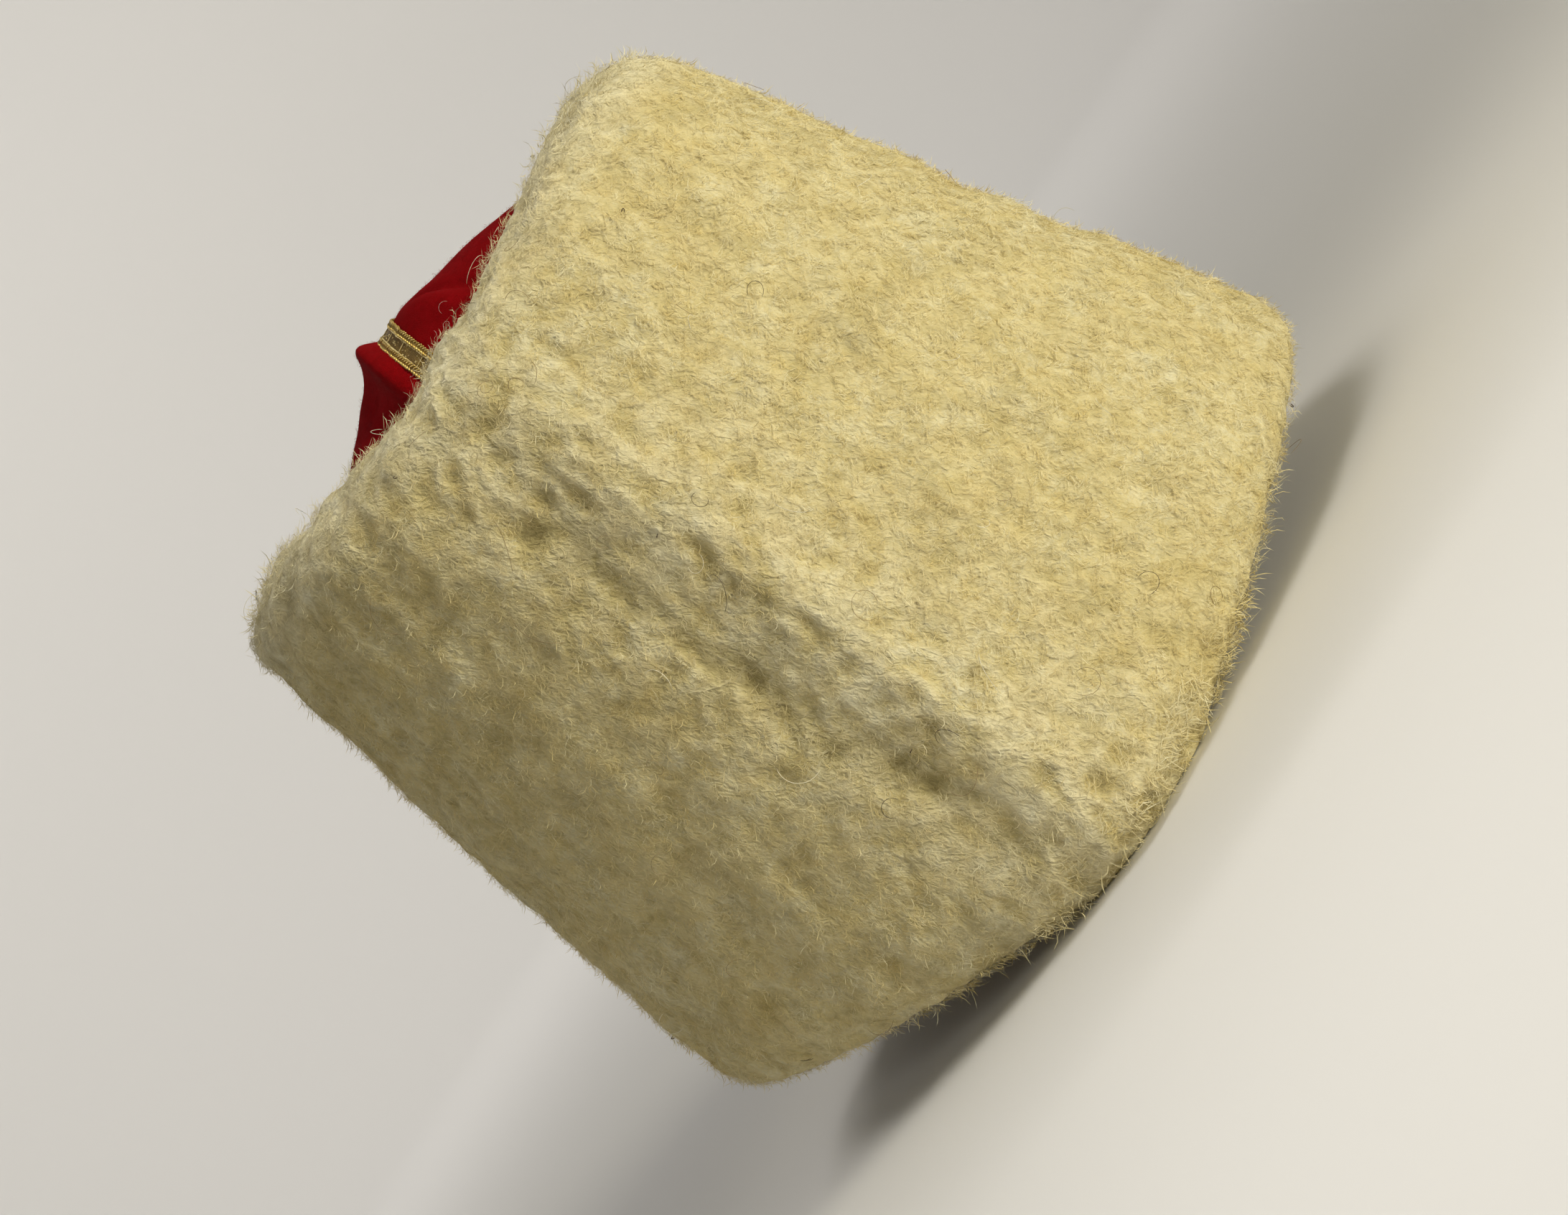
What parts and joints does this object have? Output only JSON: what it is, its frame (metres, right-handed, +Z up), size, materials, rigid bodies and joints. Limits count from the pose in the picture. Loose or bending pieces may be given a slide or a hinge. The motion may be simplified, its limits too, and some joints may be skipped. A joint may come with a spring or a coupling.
{
  "type": "cossack hat",
  "caption": "Tall fleece hat, creased at the sides and open below for a head, with a domed red cloth crown and a gold galloon band across it.",
  "frame": {"origin": "on the surface that the rim rests on, below the middle of the hat's box", "axes": "+Z up from the rim to the crown, -Y to the front of the hat, -X to the wearer's right"},
  "size_m": [0.1982, 0.2258, 0.1978],
  "materials": {
    "cream_fleece": "deep cream sheep's wool in soft curled locks on a hide, matte with fine bright fibre tips",
    "red_cloth": "deep red felted wool cloth with a short nap",
    "gold_galloon": "woven metallic gold thread, darker in the middle, with bright beaded borders"
  },
  "bodies": {
    "root": {"fleece_wall": "cream_fleece", "crown_cloth": "red_cloth", "galloon": "gold_galloon"}
  },
  "joints": []
}
